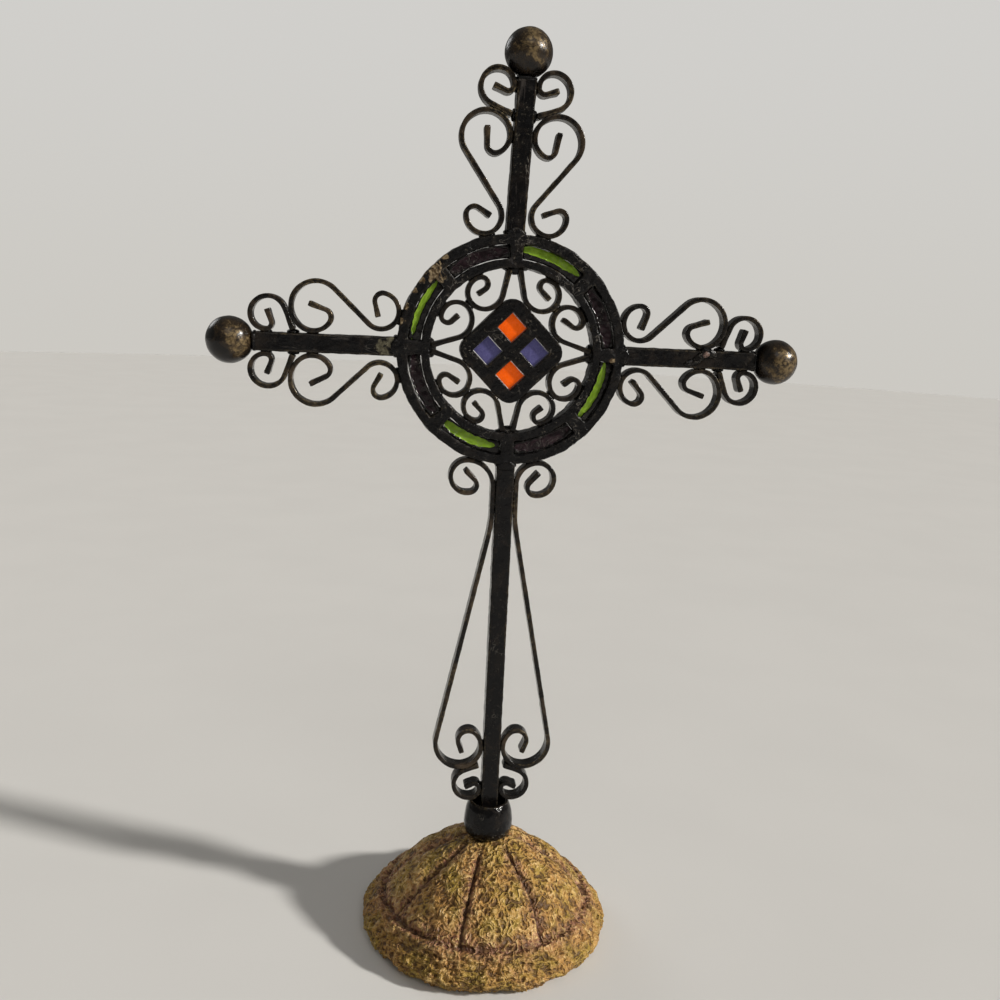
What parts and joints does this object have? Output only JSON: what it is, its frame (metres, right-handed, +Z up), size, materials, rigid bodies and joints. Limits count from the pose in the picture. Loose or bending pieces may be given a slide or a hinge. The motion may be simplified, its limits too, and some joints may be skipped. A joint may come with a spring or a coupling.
{
  "type": "wrought iron table cross",
  "caption": "Wrought iron cross with scrolls of flat strap and a ring of coloured glass panes round a glazed diamond, standing on a lobed domed foot.",
  "frame": {"origin": "middle of the flat underside of the foot, on the surface the cross stands on", "axes": "+Z up along the lower bar, -Y towards the front of the cross, +X along the right-hand arm as seen from the front"},
  "size_m": [0.26, 0.117, 0.4094],
  "materials": {
    "black_iron": "black paint over hand-worked iron, rubbed to bronze on the edges",
    "rubbed_iron": "dark paint with mottled bronze gilding, satin",
    "foot_stone": "cast, wrinkled all over, ochre paint with mauve in the grooves",
    "green_glass": "leaf green pane, lit from behind",
    "plum_glass": "plum pane, nearly black",
    "orange_glass": "orange pane, lit from behind",
    "slate_glass": "slate purple pane"
  },
  "bodies": {
    "root": {"collar": "black_iron", "diamond": "black_iron", "diamond_pane_left": "slate_glass", "diamond_pane_lower": "orange_glass", "diamond_pane_right": "slate_glass", "diamond_pane_top": "orange_glass", "foot": "foot_stone", "left_arm_scroll_lower": "black_iron", "left_arm_scroll_upper": "black_iron", "left_ball": "rubbed_iron", "left_ball_scroll_lower": "black_iron", "left_ball_scroll_upper": "black_iron", "left_bar": "black_iron", "lower_bar": "black_iron", "lower_collar_scroll_left": "black_iron", "lower_collar_scroll_right": "black_iron", "lower_long_scroll_left": "black_iron", "lower_long_scroll_right": "black_iron", "right_arm_scroll_lower": "black_iron", "right_arm_scroll_upper": "black_iron", "right_ball": "rubbed_iron", "right_ball_scroll_lower": "black_iron", "right_ball_scroll_upper": "black_iron", "right_bar": "black_iron", "ring": "black_iron", "ring_pane_1": "plum_glass", "ring_pane_2": "green_glass", "ring_pane_3": "plum_glass", "ring_pane_4": "green_glass", "ring_pane_5": "plum_glass", "ring_pane_6": "green_glass", "ring_pane_7": "plum_glass", "ring_pane_8": "green_glass", "ring_scroll_left_lower": "black_iron", "ring_scroll_left_upper": "black_iron", "ring_scroll_lower_left": "black_iron", "ring_scroll_lower_right": "black_iron", "ring_scroll_right_lower": "black_iron", "ring_scroll_right_upper": "black_iron", "ring_scroll_top_left": "black_iron", "ring_scroll_top_right": "black_iron", "top_arm_scroll_left": "black_iron", "top_arm_scroll_right": "black_iron", "top_ball": "rubbed_iron", "top_ball_scroll_left": "black_iron", "top_ball_scroll_right": "black_iron", "top_bar": "black_iron"}
  },
  "joints": []
}
